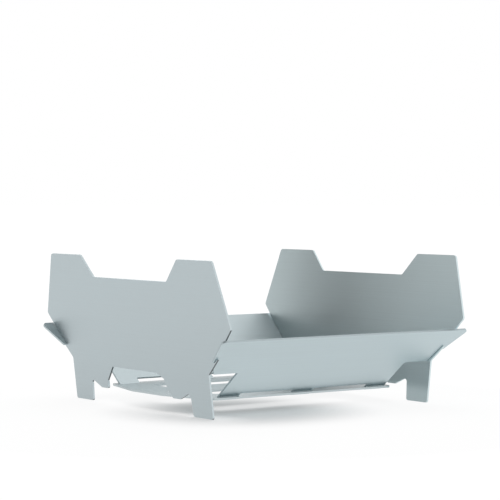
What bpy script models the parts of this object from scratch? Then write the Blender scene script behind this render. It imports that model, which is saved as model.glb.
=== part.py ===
"""Pocket stove: a flat-pack fire box of five slotted steel plates.

Two end plates stand on legs and lean outward. Two sloping side plates drop
into open slits in the end plates, and the tabs along their lower edges pass
through slots in the floor plate. No screws, pins or welds hold it together.

X runs along the stove from one end plate to the other, Y across it, and Z up
from the ground under its feet.
"""
import math

import bmesh
import bpy
from mathutils import Matrix, Vector

MM = 0.001

# Sheet and fits
SHEET = 2.0 * MM  # thickness of all five plates
FIT = 0.35 * MM  # gap on each side of a plate that passes through another
SEAT_GAP = 0.3 * MM  # gap where a side plate rests in the end plates
EDGE_BREAK = 0.25 * MM  # width of the deburred edge

# Trough between the side plates
SIDE_SLOPE = math.radians(38.7)
TROUGH_HALF_WIDTH = 88.2 * MM  # side plate's middle where it meets the floor's top face

# End plates: half widths across the stove, heights up the sheet
END_LEAN = math.radians(6.8)  # outward lean of each end plate
FOOT_HALF_SPAN = 135.0 * MM  # stove centre to an end plate's middle, at the ground
END_HEIGHT = 155.0 * MM
SLIT_SEAT_HEIGHT = 57.5 * MM  # above the ground: bottom of the slit that carries a side plate
HOOK_LENGTH = 1.8 * MM  # height of the hook outside the slit, above the seat
HOOK_WIDTH = 1.8 * MM  # level width of the hook beside the seat
MOUTH_RISE = 14.5 * MM  # seat up to where the slit opens in the plate's edge
SHOULDER_REACH = 17.2 * MM  # mouth of the slit out to the widest point of the plate
SHOULDER_HEIGHT = 90.2 * MM
SHOULDER_RADIUS = 3.0 * MM
HORN_TAPER = 21.1 * MM  # how far the horn's outer edge leans in
HORN_TOP_WIDTH = 60.2 * MM
HORN_CORNER_RADIUS = 4.0 * MM
NOTCH_FLARE = 22.2 * MM  # how far the notch between the horns opens out
NOTCH_FLOOR = 132.2 * MM
HIP_DROP = 13.9 * MM  # seat down to the top of the leg's outer edge
HIP_RUN = 15.5 * MM  # hook in to the leg's outer edge
LEG_FOOT_WIDTH = 32.8 * MM
LEG_FOOT_RADIUS = 2.5 * MM
LEG_TOP_WIDTH = 35.3 * MM
LEG_NOTCH_HEIGHT = 23.8 * MM  # where the leg's inner edge meets the belly
LEG_NOTCH_WIDTH = 18.5 * MM
LEG_NOTCH_RADIUS = 3.5 * MM
BELLY_HEIGHT = 15.7 * MM  # level underside between a leg and the draught arch
BELLY_RADIUS = 2.0 * MM
ARCH_FOOT = 61.0 * MM  # half width of the draught arch at its mouth
ARCH_WAIST_HEIGHT = 24.0 * MM
ARCH_TOP_HEIGHT = 39.3 * MM
ARCH_TOP_SQUARE_SIDE = 49.0 * MM  # steep side of the arch
ARCH_TOP_SLOPING_SIDE = 33.5 * MM  # side with the cut-back corner
ARCH_HAUNCH_WIDTH = 47.3 * MM
ARCH_HAUNCH_HEIGHT = 34.2 * MM
ARCH_SLOPING_WAIST = 52.5 * MM
ARCH_RADIUS = 2.0 * MM

# Side plates: lengths along the stove, distances along the slope
SIDE_RISE = 98.4 * MM  # floor's top face up to the top edge
LONG_WING_OVERHANG = 13.9 * MM  # how far a wing's tip stands out from the end plate
SHORT_WING_OVERHANG = 5.9 * MM
TIP_RADIUS = 4.0 * MM
SLOT_DEPTH = 22.1 * MM  # slot over the seat, down to the wing's level underside
PRONG_LENGTH = 1.5 * MM  # outside the end plate, down from the top of the slot
LONG_WING_PRONG = 3.4 * MM  # width of the prong
SHORT_WING_PRONG = 1.0 * MM
PRONG_RADIUS = 0.4 * MM
RELIEF_WIDTH = 6.6 * MM  # corner cut back inside the end plate, under the short wing
RELIEF_RISE = 14.6 * MM
LONG_END_SETBACK = 27.0 * MM  # lower end back from the end plate's foot, under the long wing
SHORT_END_SETBACK = 31.5 * MM  # and under the short wing
AIR_GAP_RISE = 6.3 * MM  # lower edge between the tabs
TAB_WIDTH = 24.5 * MM
TAB_PROUD = 1.0 * MM  # what shows of a tab under the floor, along the slope
SMALL_RADIUS = 1.0 * MM  # tabs, and the corners under the short wing

# Floor plate
FLOOR_TOP = 16.5 * MM
FLOOR_RIM = 4.8 * MM  # sheet left outside the tab slots
FLOOR_NOSE_SETBACK = 5.0 * MM  # end of the floor back from the end plate's foot
FLOOR_NOSE_HALF_WIDTH = 28.0 * MM
FLOOR_TAPER = 17.0 * MM  # how far each end draws back toward the long edges
FLOOR_CORNER_RADIUS = 6.0 * MM
WINDOW_HALF_LENGTH = 86.0 * MM
WINDOW_WIDTH = 35.0 * MM
WINDOW_BORDER = 23.8 * MM  # sheet between a window and the tab slots
WINDOW_RADIUS = 5.0 * MM
SLOT_CORNER_RADIUS = 0.6 * MM

CORNER_STEPS = 6  # straight pieces in a rounded corner
CORNER_SHARE = 0.45  # most of an edge that one rounded corner may take
WELD_DISTANCE = 0.01 * MM
FLAT_ANGLE = math.radians(0.5)  # faces closer than this in direction become one
SHARP_ANGLE = math.radians(40)  # edges sharper than this are broken

# Places that follow from the sizes
HALF_SHEET = SHEET / 2
SLIT_HALF_WIDTH = HALF_SHEET + FIT
FLOOR_BOTTOM = FLOOR_TOP - SHEET
TAB_DROP = SHEET / math.sin(SIDE_SLOPE) + TAB_PROUD
HALF_SHEET_ALONG_X = HALF_SHEET / math.cos(END_LEAN)
LONG_END = FOOT_HALF_SPAN - LONG_END_SETBACK
SHORT_END = FOOT_HALF_SPAN - SHORT_END_SETBACK


def side_y(height, outward=0.0):
    """Distance from the centre plane to a side plate's middle at a height, or outward of it."""
    middle = TROUGH_HALF_WIDTH + (height - FLOOR_TOP) / math.tan(SIDE_SLOPE)
    return middle + outward / math.sin(SIDE_SLOPE)


def rise_at(height):
    """Distance up the slope, from the floor's top face, of a height above the ground."""
    return (height - FLOOR_TOP) / math.sin(SIDE_SLOPE)


def height_at(rise):
    """Height above the ground of a distance up the slope."""
    return FLOOR_TOP + rise * math.sin(SIDE_SLOPE)


def end_x(height):
    """Distance from the centre of the stove to an end plate's middle at a height."""
    return FOOT_HALF_SPAN + height * math.tan(END_LEAN)


def rounded(corners):
    """Outline points for corners given as (x, y, radius), each radius turned as an arc."""
    points = []
    count = len(corners)
    for index, (x, y, radius) in enumerate(corners):
        corner = Vector((x, y))
        if radius <= 0.0:
            points.append(corner)
            continue
        to_last = Vector(corners[index - 1][:2]) - corner
        to_next = Vector(corners[(index + 1) % count][:2]) - corner
        half_turn = to_last.angle(to_next) / 2
        shortest = min(to_last.length, to_next.length)
        reach = min(radius / math.tan(half_turn), CORNER_SHARE * shortest)
        bend = reach * math.tan(half_turn)
        to_centre = (to_last.normalized() + to_next.normalized()).normalized()
        centre = corner + to_centre * (reach / math.cos(half_turn))
        start = corner + to_last.normalized() * reach - centre
        turn = math.pi - 2 * half_turn
        if to_last.cross(to_next) > 0.0:
            turn = -turn
        for step in range(CORNER_STEPS + 1):
            spoke = start.copy()
            spoke.rotate(Matrix.Rotation(turn * step / CORNER_STEPS, 2))
            points.append(centre + spoke.normalized() * bend)
    return points


def mirrored(corners):
    """The same corners on the other side of the centre line, in the opposite order."""
    return [(-x, y, radius) for x, y, radius in reversed(corners)]


def rectangle(low_x, high_x, low_y, high_y, radius):
    """Corners of a rectangle with one corner radius."""
    places = ((low_x, low_y), (high_x, low_y), (high_x, high_y), (low_x, high_y))
    return [(x, y, radius) for x, y in places]


def sheet_mesh(name, outlines):
    """Closed mesh of a flat plate: the first outline is its edge, the rest are holes."""
    curve = bpy.data.curves.new(name + "_outline", "CURVE")
    curve.dimensions = "2D"
    curve.fill_mode = "BOTH"
    curve.extrude = HALF_SHEET
    for corners in outlines:
        points = rounded(corners)
        spline = curve.splines.new("POLY")
        spline.points.add(len(points) - 1)
        for place, point in zip(spline.points, points):
            place.co = (point.x, point.y, 0.0, 1.0)
        spline.use_cyclic_u = True
    outline = bpy.data.objects.new(name + "_outline", curve)
    bpy.context.scene.collection.objects.link(outline)
    bpy.context.view_layer.update()
    evaluated = outline.evaluated_get(bpy.context.evaluated_depsgraph_get())
    mesh = bpy.data.meshes.new_from_object(evaluated)
    mesh.name = name
    bpy.data.objects.remove(outline)
    weld = bmesh.new()
    weld.from_mesh(mesh)
    bmesh.ops.remove_doubles(weld, verts=weld.verts, dist=WELD_DISTANCE)
    bmesh.ops.dissolve_limit(
        weld, angle_limit=FLAT_ANGLE, verts=weld.verts, edges=weld.edges
    )
    bmesh.ops.recalc_face_normals(weld, faces=weld.faces)
    weld.to_mesh(mesh)
    weld.free()
    return mesh


def end_plate_mesh():
    """End plate in its own plane: x across the stove, y up the sheet, z outward."""
    upright = math.cos(END_LEAN)
    seat_height = SLIT_SEAT_HEIGHT / upright
    hook_root = side_y(SLIT_SEAT_HEIGHT, SLIT_HALF_WIDTH) + HOOK_WIDTH
    leg_outer = hook_root - HIP_RUN
    mouth_height = SLIT_SEAT_HEIGHT + MOUTH_RISE
    mouth = side_y(mouth_height, -SLIT_HALF_WIDTH)
    shoulder = mouth + SHOULDER_REACH
    horn_outer = shoulder - HORN_TAPER
    horn_inner = horn_outer - HORN_TOP_WIDTH
    leg_inner = leg_outer - LEG_TOP_WIDTH

    seat = Vector((side_y(SLIT_SEAT_HEIGHT), SLIT_SEAT_HEIGHT))
    across_slit = Vector((math.sin(SIDE_SLOPE), -math.cos(SIDE_SLOPE))) * SLIT_HALF_WIDTH
    seat_inner = seat - across_slit
    seat_outer = seat + across_slit
    hook_tip = SLIT_SEAT_HEIGHT + HOOK_LENGTH
    hook_inner = (side_y(hook_tip, SLIT_HALF_WIDTH), hook_tip / upright)
    hook_outer = (hook_inner[0] + HOOK_WIDTH, hook_tip / upright)
    foot = -HALF_SHEET * math.tan(END_LEAN)  # the feet are ground off level
    side = [
        (horn_inner - NOTCH_FLARE, NOTCH_FLOOR, HORN_CORNER_RADIUS),
        (horn_inner, END_HEIGHT, HORN_CORNER_RADIUS),
        (horn_outer, END_HEIGHT, HORN_CORNER_RADIUS),
        (shoulder, SHOULDER_HEIGHT, SHOULDER_RADIUS),
        (mouth, mouth_height / upright, 0.0),
        (seat_inner.x, seat_inner.y / upright, 0.0),
        (seat_outer.x, seat_outer.y / upright, 0.0),
        (*hook_inner, 0.0),
        (*hook_outer, 0.0),
        (leg_outer, seat_height - HIP_DROP, SHOULDER_RADIUS),
        (leg_outer, foot, LEG_FOOT_RADIUS),
        (leg_outer - LEG_FOOT_WIDTH, foot, LEG_FOOT_RADIUS),
        (leg_inner, LEG_NOTCH_HEIGHT, LEG_NOTCH_RADIUS),
        (leg_inner - LEG_NOTCH_WIDTH, BELLY_HEIGHT, BELLY_RADIUS),
        (ARCH_FOOT, BELLY_HEIGHT, BELLY_RADIUS),
    ]
    sloping_side = [
        (ARCH_SLOPING_WAIST, ARCH_WAIST_HEIGHT, ARCH_RADIUS),
        (ARCH_HAUNCH_WIDTH, ARCH_HAUNCH_HEIGHT, ARCH_RADIUS),
        (ARCH_TOP_SLOPING_SIDE, ARCH_TOP_HEIGHT, ARCH_RADIUS),
    ]
    steep_side = [
        (ARCH_FOOT, ARCH_WAIST_HEIGHT, ARCH_RADIUS),
        (ARCH_TOP_SQUARE_SIDE, ARCH_TOP_HEIGHT, ARCH_RADIUS),
    ]
    mesh = sheet_mesh(
        "end_plate", [side + sloping_side + mirrored(steep_side) + mirrored(side)]
    )
    level = bmesh.new()
    level.from_mesh(mesh)
    cut = bmesh.ops.bisect_plane(
        level,
        geom=level.verts[:] + level.edges[:] + level.faces[:],
        plane_co=(0.0, 0.0, 0.0),
        plane_no=(0.0, upright, -math.sin(END_LEAN)),
        clear_inner=True,
    )
    rim = [item for item in cut["geom_cut"] if isinstance(item, bmesh.types.BMEdge)]
    bmesh.ops.holes_fill(level, edges=rim)
    bmesh.ops.recalc_face_normals(level, faces=level.faces)
    level.to_mesh(mesh)
    level.free()
    return mesh


def side_plate_mesh():
    """Back side plate in its own plane: x along the stove, y up the slope, z inward."""
    slot_top = rise_at(SLIT_SEAT_HEIGHT) + SEAT_GAP
    wing_foot = slot_top - SLOT_DEPTH
    prong_foot = slot_top - PRONG_LENGTH
    tilt_play = HALF_SHEET * math.cos(SIDE_SLOPE) * math.tan(END_LEAN)
    wall = HALF_SHEET_ALONG_X + FIT + tilt_play
    inner_at_foot = end_x(height_at(wing_foot)) - wall
    inner_at_seat = end_x(SLIT_SEAT_HEIGHT) - wall
    slot_outer = end_x(SLIT_SEAT_HEIGHT) + wall
    wing_root = end_x(height_at(SIDE_RISE)) + HALF_SHEET_ALONG_X
    relief_top = wing_foot + RELIEF_RISE
    under_short_wing = [
        (inner_at_foot - RELIEF_WIDTH, wing_foot, SMALL_RADIUS),
        (end_x(height_at(relief_top)) - wall, relief_top, SMALL_RADIUS),
    ]
    under_long_wing = [(inner_at_foot, wing_foot, 0.0)]
    wings = (
        (SHORT_END, SMALL_RADIUS, under_short_wing, SHORT_WING_PRONG, SHORT_WING_OVERHANG),
        (LONG_END, TIP_RADIUS, under_long_wing, LONG_WING_PRONG, LONG_WING_OVERHANG),
    )
    centre_tab = TAB_WIDTH / 2
    halves = []
    for lower_end, root_radius, underside, prong_width, overhang in wings:
        end_tab = lower_end - TAB_WIDTH
        halves.append([
            (centre_tab, -TAB_DROP, SMALL_RADIUS),
            (centre_tab, AIR_GAP_RISE, SMALL_RADIUS),
            (end_tab, AIR_GAP_RISE, SMALL_RADIUS),
            (end_tab, -TAB_DROP, SMALL_RADIUS),
            (lower_end, -TAB_DROP, SMALL_RADIUS),
            (lower_end, wing_foot, root_radius),
            *underside,
            (inner_at_seat, slot_top, 0.0),
            (slot_outer, slot_top, 0.0),
            (slot_outer, prong_foot, 0.0),
            (slot_outer + prong_width, prong_foot, PRONG_RADIUS),
            (wing_root + overhang, SIDE_RISE, TIP_RADIUS),
        ])
    return sheet_mesh("side_plate", [halves[0] + mirrored(halves[1])])


def floor_plate_mesh():
    """Floor plate in its own plane: x along the stove, y across it, z up."""
    slot_inner = side_y(FLOOR_BOTTOM, -HALF_SHEET) - FIT
    slot_outer = side_y(FLOOR_TOP, HALF_SHEET) + FIT
    long_edge = slot_outer + FLOOR_RIM
    nose = FOOT_HALF_SPAN - FLOOR_NOSE_SETBACK
    right = [
        (nose - FLOOR_TAPER, -long_edge, FLOOR_CORNER_RADIUS),
        (nose, -FLOOR_NOSE_HALF_WIDTH, FLOOR_CORNER_RADIUS),
        (nose, FLOOR_NOSE_HALF_WIDTH, FLOOR_CORNER_RADIUS),
        (nose - FLOOR_TAPER, long_edge, FLOOR_CORNER_RADIUS),
    ]
    outlines = [right + mirrored(right)]
    half_slot = TAB_WIDTH / 2 + FIT
    tab_middles = (TAB_WIDTH / 2 - LONG_END, 0.0, SHORT_END - TAB_WIDTH / 2)
    window_outer = slot_inner - WINDOW_BORDER
    window_inner = window_outer - WINDOW_WIDTH
    for side in (-1, 1):
        near_y, far_y = sorted((side * slot_inner, side * slot_outer))
        for tab_middle in tab_middles:
            low_x = side * tab_middle - half_slot
            high_x = side * tab_middle + half_slot
            outlines.append(rectangle(low_x, high_x, near_y, far_y, SLOT_CORNER_RADIUS))
        near_y, far_y = sorted((side * window_inner, side * window_outer))
        outlines.append(
            rectangle(-WINDOW_HALF_LENGTH, WINDOW_HALF_LENGTH, near_y, far_y, WINDOW_RADIUS)
        )
    return sheet_mesh("floor_plate", outlines)


def satin_steel(name, shade, roughness):
    """Brushed stainless steel, as one plate's finish."""
    material = bpy.data.materials.new(name)
    material.use_nodes = True
    shader = material.node_tree.nodes["Principled BSDF"]
    shader.inputs["Base Color"].default_value = (*shade, 1.0)
    shader.inputs["Metallic"].default_value = 1.0
    shader.inputs["Roughness"].default_value = roughness
    return material


def add_plate(name, mesh, placement, material, collection):
    """One plate as its own object, with its edges lightly broken."""
    plate = bpy.data.objects.new(name, mesh.copy())
    plate.data.materials.append(material)
    plate.matrix_world = placement
    collection.objects.link(plate)
    edge_break = plate.modifiers.new("edge_break", "BEVEL")
    edge_break.width = EDGE_BREAK
    edge_break.segments = 1
    edge_break.limit_method = "ANGLE"
    edge_break.angle_limit = SHARP_ANGLE
    return plate


def frame_from_axes(x_axis, y_axis, origin):
    """Placement with the given x and y directions and z square to both."""
    x_axis = Vector(x_axis)
    y_axis = Vector(y_axis)
    axes = Matrix((x_axis, y_axis, x_axis.cross(y_axis))).transposed()
    return Matrix.Translation(origin) @ axes.to_4x4()


def build():
    """Clear the scene and build the stove."""
    for old in list(bpy.data.objects):
        bpy.data.objects.remove(old)
    stove = bpy.data.collections.new("pocket_stove")
    bpy.context.scene.collection.children.link(stove)

    end_steel = satin_steel("end_plate_steel", (0.56, 0.58, 0.59), 0.42)
    side_steel = satin_steel("side_plate_steel", (0.58, 0.60, 0.61), 0.38)
    floor_steel = satin_steel("floor_plate_steel", (0.50, 0.52, 0.53), 0.45)

    half_turn = Matrix.Rotation(math.pi, 4, "Z")

    leaning_up = (math.sin(END_LEAN), 0.0, math.cos(END_LEAN))
    far_end = frame_from_axes((0.0, 1.0, 0.0), leaning_up, (FOOT_HALF_SPAN, 0.0, 0.0))
    end_mesh = end_plate_mesh()
    add_plate("far_end_plate", end_mesh, far_end, end_steel, stove)
    add_plate("near_end_plate", end_mesh, half_turn @ far_end, end_steel, stove)

    up_slope = (0.0, math.cos(SIDE_SLOPE), math.sin(SIDE_SLOPE))
    back_side = frame_from_axes((1.0, 0.0, 0.0), up_slope, (0.0, TROUGH_HALF_WIDTH, FLOOR_TOP))
    side_mesh = side_plate_mesh()
    add_plate("back_side_plate", side_mesh, back_side, side_steel, stove)
    add_plate("front_side_plate", side_mesh, half_turn @ back_side, side_steel, stove)

    floor_place = Matrix.Translation((0.0, 0.0, FLOOR_TOP - HALF_SHEET))
    add_plate("floor_plate", floor_plate_mesh(), floor_place, floor_steel, stove)

    for mesh in (end_mesh, side_mesh):
        bpy.data.meshes.remove(mesh)


build()
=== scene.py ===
"""Pocket stove in satin brushed stainless steel, on a white floor under soft studio light."""

import math

import bpy
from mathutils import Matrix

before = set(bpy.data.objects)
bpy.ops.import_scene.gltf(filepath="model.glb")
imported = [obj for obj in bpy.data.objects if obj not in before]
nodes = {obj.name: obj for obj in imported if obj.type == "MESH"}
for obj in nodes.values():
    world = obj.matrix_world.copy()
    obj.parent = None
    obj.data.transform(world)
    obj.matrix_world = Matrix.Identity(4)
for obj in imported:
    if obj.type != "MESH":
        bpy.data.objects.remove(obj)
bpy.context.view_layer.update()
bpy.ops.object.select_all(action="DESELECT")

END_LEAN = math.radians(6.8)
SIDE_SLOPE = math.radians(38.7)

# Camera, in metres, degrees and millimetres of lens
CAMERA_PLACE = (-1.18544, -1.65523, 0.21462)
CAMERA_DOWN = 1.58
CAMERA_TURN = -35.59
CAMERA_LENS = 139.19
SENSOR_WIDTH = 36.0
CLIP_START = 0.05
CLIP_END = 60.0

# Brushed grain: turns of each pattern per metre, along and across the brush lines
LONG_LINES = (3.0, 900.0)
FINE_LINES = (14.0, 3200.0)
CLOUDS = (9.0, 16.0)
LONG_SHARE = 0.6
NOISE_RANGE = (0.30, 0.70)
GRAIN_DEPTH = 0.00002
GRAIN_STRENGTH = 0.35

# How far grain, clouds and broken corners change the steel's tone and roughness
GRAIN_TONE = 0.035
CLOUD_TONE = 0.015
CORNER_TONE = 1.12
GRAIN_ROUGHNESS = 0.05
CLOUD_ROUGHNESS = 0.02
CORNER_POLISH = 0.12

# Where a face counts as flat or as a cut edge (1 is square on to its plate, 0 is edge on),
# and as facing the ground (by the upward part of its direction), where cut edges get painted
# shade
FLAT_FACE = (0.90, 0.97)
CUT_EDGE = (0.35, 0.25)
FACING_DOWN = (-0.60, -0.25)

# Steel colours, one per plate: the same steel made lighter or darker plate by plate, painted
# light and shade to match how each plate is lit
NEAR_END_STEEL = (0.55, 0.618, 0.640)
FAR_END_STEEL = (0.598, 0.690, 0.706)
FRONT_SIDE_STEEL = (0.62, 0.712, 0.737)
BACK_SIDE_STEEL = (0.610, 0.688, 0.710)
FLOOR_PLATE_STEEL = (0.430, 0.482, 0.496)

# Studio floor, in metres and shares of white
FLOOR_RADIUS = 40.0
FLOOR_COLOUR = (0.94, 0.94, 0.94, 1.0)
FLOOR_ROUGHNESS = 0.9
FLOOR_GLOW = 1.03
SHADOW_CENTRE = (-0.073, -0.081, 0.0)
SHADOW_REACH = (0.045, 0.155)
PALE_IN_SHADOW = 0.16
PALE_ROUND_IT = 0.86
WHITE_REACH = (0.22, 0.40)
PALE_IN_STEEL = 0.85
# painted shade: in the steel the floor shows darker near the stove
DIM_IN_STEEL = 0.17
DIM_REACH = (0.08, 0.85)

# Wall and cards that show only in the steel
WHITE = (1.0, 1.0, 1.0, 1.0)
ROUND_SIDES = 96
WALL_RADIUS = 4.0
WALL_HEIGHT = 1.5
WALL_GREY = 0.74
WALL_WHITE = 0.95
WALL_DARK_SIDE = (-0.576, 0.817, 0.0)
WALL_TURN = (0.3 * WALL_RADIUS, 0.9 * WALL_RADIUS)
CEILING_HEIGHT = 1.5
CEILING_RADIUS = 3.2
CEILING_GREY = 0.88
CEILING_DARK = 0.04
CEILING_TURN = (-0.45, 0.25)
BACK_CARD_SIZE = (0.11, 0.24)
BACK_CARD_PLACE = (-0.055, 0.28, 0.12)
BACK_CARD_GREY = 0.0

# Surroundings' strength where they are seen and where they light matt surfaces,
# and the lamps: name, place and size in metres, and watts
SURROUNDINGS_SEEN = 1.0
SURROUNDINGS_LIGHT = 0.5
LAMPS = (
    ("back_softbox", (0.85, 1.35, 2.4), 3.0, 42.0),
    ("left_softbox", (-2.2, -0.6, 1.2), 1.0, 8.0),
)


def place_camera():
    """A long lens, low and to the left of the near end plate, fitted to the plates' corners."""
    bpy.ops.object.camera_add(
        location=CAMERA_PLACE,
        rotation=(math.radians(90.0 - CAMERA_DOWN), 0.0, math.radians(CAMERA_TURN)),
    )
    camera = bpy.context.object
    camera.name = "photo_camera"
    camera.data.sensor_width = SENSOR_WIDTH
    camera.data.lens = CAMERA_LENS
    camera.data.clip_start = CLIP_START
    camera.data.clip_end = CLIP_END
    bpy.context.scene.camera = camera


class Graph:
    """A short way to write a material's nodes."""

    def __init__(self, name):
        self.material = bpy.data.materials.new(name)
        self.material.use_nodes = True
        self.tree = self.material.node_tree
        self.shader = self.tree.nodes["Principled BSDF"]

    def node(self, kind, **settings):
        made = self.tree.nodes.new(kind)
        for key, value in settings.items():
            setattr(made, key, value)
        return made

    def link(self, source, target):
        self.tree.links.new(source, target)

    def give(self, socket, given):
        """The socket takes another node's output, or a plain number."""
        if isinstance(given, bpy.types.NodeSocket):
            self.link(given, socket)
        else:
            socket.default_value = given

    def math(self, operation, a, b=0.0):
        made = self.node("ShaderNodeMath", operation=operation)
        for socket, given in zip(made.inputs, (a, b)):
            self.give(socket, given)
        return made.outputs[0]

    def remap(self, a, reach, to_low, to_high, easing="LINEAR"):
        """From to_low to to_high while a goes through its reach."""
        made = self.node("ShaderNodeMapRange", interpolation_type=easing)
        for socket, given in zip(made.inputs, (a, *reach, to_low, to_high)):
            self.give(socket, given)
        return made.outputs[0]

    def eased(self, a, reach, to_low, to_high):
        return self.remap(a, reach, to_low, to_high, "SMOOTHSTEP")

    def scaled(self, factor, strongest):
        """1 where the factor is 0, and strongest where it is 1."""
        return self.remap(factor, (0.0, 1.0), 1.0, strongest)

    def vector(self, operation, a, b):
        made = self.node("ShaderNodeVectorMath", operation=operation)
        self.link(a, made.inputs[0])
        made.inputs[1].default_value = b
        return made.outputs["Value"]

    def part_of(self, vector, axis):
        made = self.node("ShaderNodeSeparateXYZ")
        self.link(vector, made.inputs[0])
        return made.outputs[axis]

    def stretched(self, coordinates, scale, place=(0.0, 0.0, 0.0), turn=(0.0, 0.0, 0.0)):
        made = self.node("ShaderNodeMapping")
        self.link(coordinates, made.inputs["Vector"])
        made.inputs["Location"].default_value = place
        made.inputs["Rotation"].default_value = turn
        made.inputs["Scale"].default_value = scale
        return made.outputs[0]

    def noise(self, vector, detail, roughness):
        made = self.node("ShaderNodeTexNoise")
        self.link(vector, made.inputs["Vector"])
        made.inputs["Scale"].default_value = 1.0
        made.inputs["Detail"].default_value = detail
        made.inputs["Roughness"].default_value = roughness
        return made.outputs["Fac"]

    def show(self, shader):
        self.link(shader, self.tree.nodes["Material Output"].inputs["Surface"])


def brushed_sheet(
    name, colour, face_normal, grain_turn, seed, roughness=0.50, painted_edge_tone=1.0, under=1.0,
):
    """Satin sheet steel: long brush lines, faint clouds, cut edges with painted highlight and
    painted shade, bright broken corners.

    The edge tone gives the cut edges a painted highlight above 1 and a painted shade below 1,
    and under gives those edges that face the ground a painted shade.
    """
    g = Graph(name)
    place = g.node("ShaderNodeTexCoord")
    sheet = g.stretched(place.outputs["Object"], (1.0, 1.0, 1.0), turn=grain_turn)

    def pattern(turns, shift, detail, harshness):
        """Noise drawn out along the turned sheet's X axis, the way the brush went."""
        along, across = turns
        drawn_out = g.stretched(sheet, (along, across, across), place=shift)
        return g.noise(drawn_out, detail, harshness)

    lines = pattern(LONG_LINES, (seed, 0.0, 0.0), detail=3.0, harshness=0.6)
    fine = pattern(FINE_LINES, (0.0, seed, 0.0), detail=2.0, harshness=0.55)
    cloud = pattern(CLOUDS, (seed, seed, seed), detail=3.0, harshness=0.55)
    grain = g.math(
        "ADD",
        g.math("MULTIPLY", lines, LONG_SHARE),
        g.math("MULTIPLY", fine, 1.0 - LONG_SHARE),
    )

    # flat faces, cut edges and the broken corner between them, told apart by direction
    normal = place.outputs["Normal"]
    square_on = g.math("ABSOLUTE", g.vector("DOT_PRODUCT", normal, face_normal))
    flat = g.remap(square_on, FLAT_FACE, 0.0, 1.0)
    cut = g.remap(square_on, CUT_EDGE, 0.0, 1.0)
    not_flat = g.math("SUBTRACT", 1.0, flat)
    corner = g.math("SUBTRACT", not_flat, cut)
    # edges that face the ground, which get painted shade
    downward = g.eased(g.part_of(normal, "Z"), FACING_DOWN, 1.0, 0.0)
    ground_facing_shade = g.math("MULTIPLY", not_flat, downward)

    tone = g.remap(grain, NOISE_RANGE, 1.0 - GRAIN_TONE, 1.0 + GRAIN_TONE)
    for change in (
        g.remap(cloud, NOISE_RANGE, 1.0 - CLOUD_TONE, 1.0 + CLOUD_TONE),
        # painted highlight and painted shade on the cut edges, and painted shade on the edges
        # that face the ground
        g.scaled(cut, painted_edge_tone),
        g.scaled(ground_facing_shade, under),
        g.scaled(corner, CORNER_TONE),
    ):
        tone = g.math("MULTIPLY", tone, change)
    toned = g.node("ShaderNodeVectorMath", operation="SCALE")
    toned.inputs[0].default_value = colour
    g.link(tone, toned.inputs["Scale"])
    g.link(toned.outputs[0], g.shader.inputs["Base Color"])

    rough = g.remap(
        grain, NOISE_RANGE, roughness - GRAIN_ROUGHNESS, roughness + GRAIN_ROUGHNESS,
    )
    clouded = g.remap(cloud, NOISE_RANGE, -CLOUD_ROUGHNESS, CLOUD_ROUGHNESS)
    polished = g.math("MULTIPLY", corner, -CORNER_POLISH)
    rough = g.math("ADD", g.math("ADD", rough, clouded), polished)
    g.link(rough, g.shader.inputs["Roughness"])
    g.shader.inputs["Metallic"].default_value = 1.0

    bump = g.node("ShaderNodeBump")
    bump.inputs["Distance"].default_value = GRAIN_DEPTH
    g.link(grain, bump.inputs["Height"])
    g.link(g.math("MULTIPLY", flat, GRAIN_STRENGTH), bump.inputs["Strength"])
    g.link(bump.outputs["Normal"], g.shader.inputs["Normal"])
    return g.material


def dress_plates():
    """Each plate keeps its solid and gets its own brushed finish, with its steel colour lighter
    or darker as painted light and shade.
    """
    near_lean = (math.cos(END_LEAN), 0.0, math.sin(END_LEAN))
    far_lean = (math.cos(END_LEAN), 0.0, -math.sin(END_LEAN))
    front_slope = (0.0, math.sin(SIDE_SLOPE), math.cos(SIDE_SLOPE))
    back_slope = (0.0, -math.sin(SIDE_SLOPE), math.cos(SIDE_SLOPE))
    level = (0.0, 0.0, 1.0)
    across = (0.0, 0.0, math.radians(90.0))
    along = (0.0, 0.0, 0.0)
    # the steel colours and edge tones below are painted light and shade: painted highlight and
    # painted shade on the cut edges, and painted shade on the near plate's edges that face the
    # ground
    finishes = {
        "near_end_plate": brushed_sheet(
            "near_end_brushed", NEAR_END_STEEL, near_lean, across, 1.3, painted_edge_tone=1.2, under=0.25,
        ),
        "far_end_plate": brushed_sheet(
            "far_end_brushed", FAR_END_STEEL, far_lean, across, 4.1, roughness=0.36, painted_edge_tone=1.2,
        ),
        "front_side_plate": brushed_sheet(
            "front_side_brushed", FRONT_SIDE_STEEL, front_slope, along, 7.7, painted_edge_tone=0.8,
        ),
        "back_side_plate": brushed_sheet(
            "back_side_brushed", BACK_SIDE_STEEL, back_slope, along, 9.2, painted_edge_tone=0.9,
        ),
        "floor_plate": brushed_sheet(
            "floor_brushed", FLOOR_PLATE_STEEL, level, along, 12.6, roughness=0.32, painted_edge_tone=1.3,
        ),
    }
    for name, finish in finishes.items():
        for slot in nodes[name].material_slots:
            slot.material = finish


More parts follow.
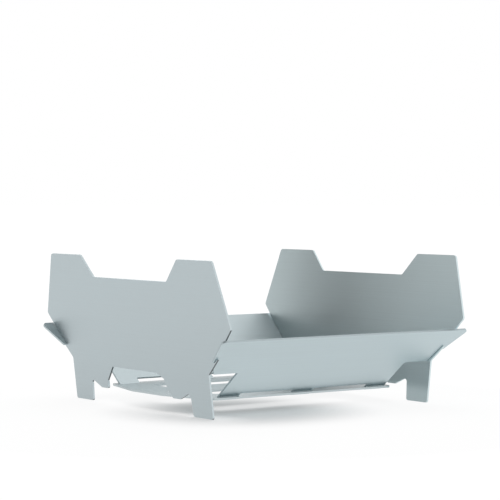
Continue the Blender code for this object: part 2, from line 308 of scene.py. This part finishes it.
def lay_floor():
    """White floor that keeps the stove's soft shadow and turns plain white further out."""
    bpy.ops.mesh.primitive_circle_add(
        vertices=ROUND_SIDES, radius=FLOOR_RADIUS, fill_type="NGON",
    )
    floor = bpy.context.object
    floor.name = "studio_floor"
    g = Graph("studio_floor_white")
    g.shader.inputs["Base Color"].default_value = FLOOR_COLOUR
    g.shader.inputs["Roughness"].default_value = FLOOR_ROUGHNESS
    g.shader.inputs["Specular IOR Level"].default_value = 0.0
    place = g.node("ShaderNodeTexCoord")
    away = g.vector("DISTANCE", place.outputs["Object"], SHADOW_CENTRE)
    round_shadow = g.eased(away, SHADOW_REACH, PALE_IN_SHADOW, PALE_ROUND_IT)
    far_off = g.eased(away, WHITE_REACH, 0.0, 1.0)

    # how white the floor shows straight on, and in the steel, where it shows darker near the
    # stove as a painted shade
    path = g.node("ShaderNodeLightPath")
    seen = g.math("MAXIMUM", path.outputs["Is Camera Ray"], path.outputs["Is Transmission Ray"])
    in_view = g.math("MULTIPLY", seen, g.math("MAXIMUM", round_shadow, far_off))
    in_steel = g.math(
        "MULTIPLY", path.outputs["Is Glossy Ray"], g.math("MAXIMUM", far_off, PALE_IN_STEEL),
    )
    # painted shade: the floor's glow is lowered near the stove where the steel reflects it
    painted_shade_in_steel = g.math(
        "MULTIPLY", path.outputs["Is Glossy Ray"], g.eased(away, DIM_REACH, DIM_IN_STEEL, 0.0),
    )
    white = g.node("ShaderNodeEmission")
    white.inputs["Color"].default_value = WHITE
    g.link(g.math("SUBTRACT", FLOOR_GLOW, painted_shade_in_steel), white.inputs["Strength"])
    paler = g.node("ShaderNodeMixShader")
    g.link(g.math("MAXIMUM", in_view, in_steel), paler.inputs["Fac"])
    g.link(g.shader.outputs[0], paler.inputs[1])
    g.link(white.outputs[0], paler.inputs[2])
    g.show(paler.outputs[0])
    floor.data.materials.append(g.material)


def show_only_in_steel(card, finish_name, shade):
    """Grey that the steel alone reflects; shade makes its strength from its graph."""
    g = Graph(finish_name)
    grey = g.node("ShaderNodeEmission")
    grey.inputs["Color"].default_value = WHITE
    g.give(grey.inputs["Strength"], shade(g))
    g.show(grey.outputs[0])
    card.data.materials.append(g.material)
    card.visible_camera = False
    card.visible_diffuse = False
    card.visible_shadow = False


def hang_studio_wall():
    """Studio wall all round, greyer behind the stove's left than elsewhere."""
    bpy.ops.mesh.primitive_cylinder_add(
        vertices=ROUND_SIDES, radius=WALL_RADIUS, depth=WALL_HEIGHT, end_fill_type="NOTHING",
        location=(0.0, 0.0, WALL_HEIGHT / 2),
    )
    wall = bpy.context.object
    wall.name = "studio_wall"

    def shade(g):
        place = g.node("ShaderNodeTexCoord")
        toward = g.vector("DOT_PRODUCT", place.outputs["Object"], WALL_DARK_SIDE)
        return g.remap(toward, WALL_TURN, WALL_WHITE, WALL_GREY)

    show_only_in_steel(wall, "studio_wall_grey", shade)


def hang_ceiling_card():
    """Card overhead, pale on the right and dark on the left, which darkens the left wing."""
    bpy.ops.mesh.primitive_circle_add(
        vertices=ROUND_SIDES, radius=CEILING_RADIUS, fill_type="NGON",
        location=(0.0, 0.0, CEILING_HEIGHT),
    )
    card = bpy.context.object
    card.name = "ceiling_card"

    def shade(g):
        place = g.node("ShaderNodeTexCoord")
        to_the_right = g.part_of(place.outputs["Object"], "X")
        return g.eased(to_the_right, CEILING_TURN, CEILING_DARK, CEILING_GREY)

    show_only_in_steel(card, "ceiling_card_grey", shade)


def stand_back_card():
    """Dark card behind the trough, which shades the middle of the far end plate's inside."""
    bpy.ops.mesh.primitive_plane_add(
        size=1.0, location=BACK_CARD_PLACE, rotation=(math.radians(90.0), 0.0, 0.0),
    )
    card = bpy.context.object
    card.name = "back_card"
    card.scale = (*BACK_CARD_SIZE, 1.0)
    show_only_in_steel(card, "back_card_grey", lambda g: BACK_CARD_GREY)


def light_softly():
    """Even white surroundings and large soft lamps."""
    world = bpy.data.worlds.new("studio")
    bpy.context.scene.world = world
    world.use_nodes = True
    tree = world.node_tree
    backdrop = tree.nodes["Background"]
    backdrop.inputs["Color"].default_value = WHITE
    path = tree.nodes.new("ShaderNodeLightPath")
    strength = tree.nodes.new("ShaderNodeMapRange")
    strength.inputs["To Min"].default_value = SURROUNDINGS_SEEN
    strength.inputs["To Max"].default_value = SURROUNDINGS_LIGHT
    tree.links.new(path.outputs["Is Diffuse Ray"], strength.inputs["Value"])
    tree.links.new(strength.outputs[0], backdrop.inputs["Strength"])
    for name, place, size, power in LAMPS:
        bpy.ops.object.light_add(type="AREA", location=place)
        lamp = bpy.context.object
        lamp.name = name
        lamp.data.size = size
        lamp.data.energy = power
        lamp.rotation_euler = lamp.location.to_track_quat("Z", "Y").to_euler()


place_camera()
dress_plates()
lay_floor()
hang_studio_wall()
hang_ceiling_card()
stand_back_card()
light_softly()
bpy.context.scene.view_settings.view_transform = "Standard"
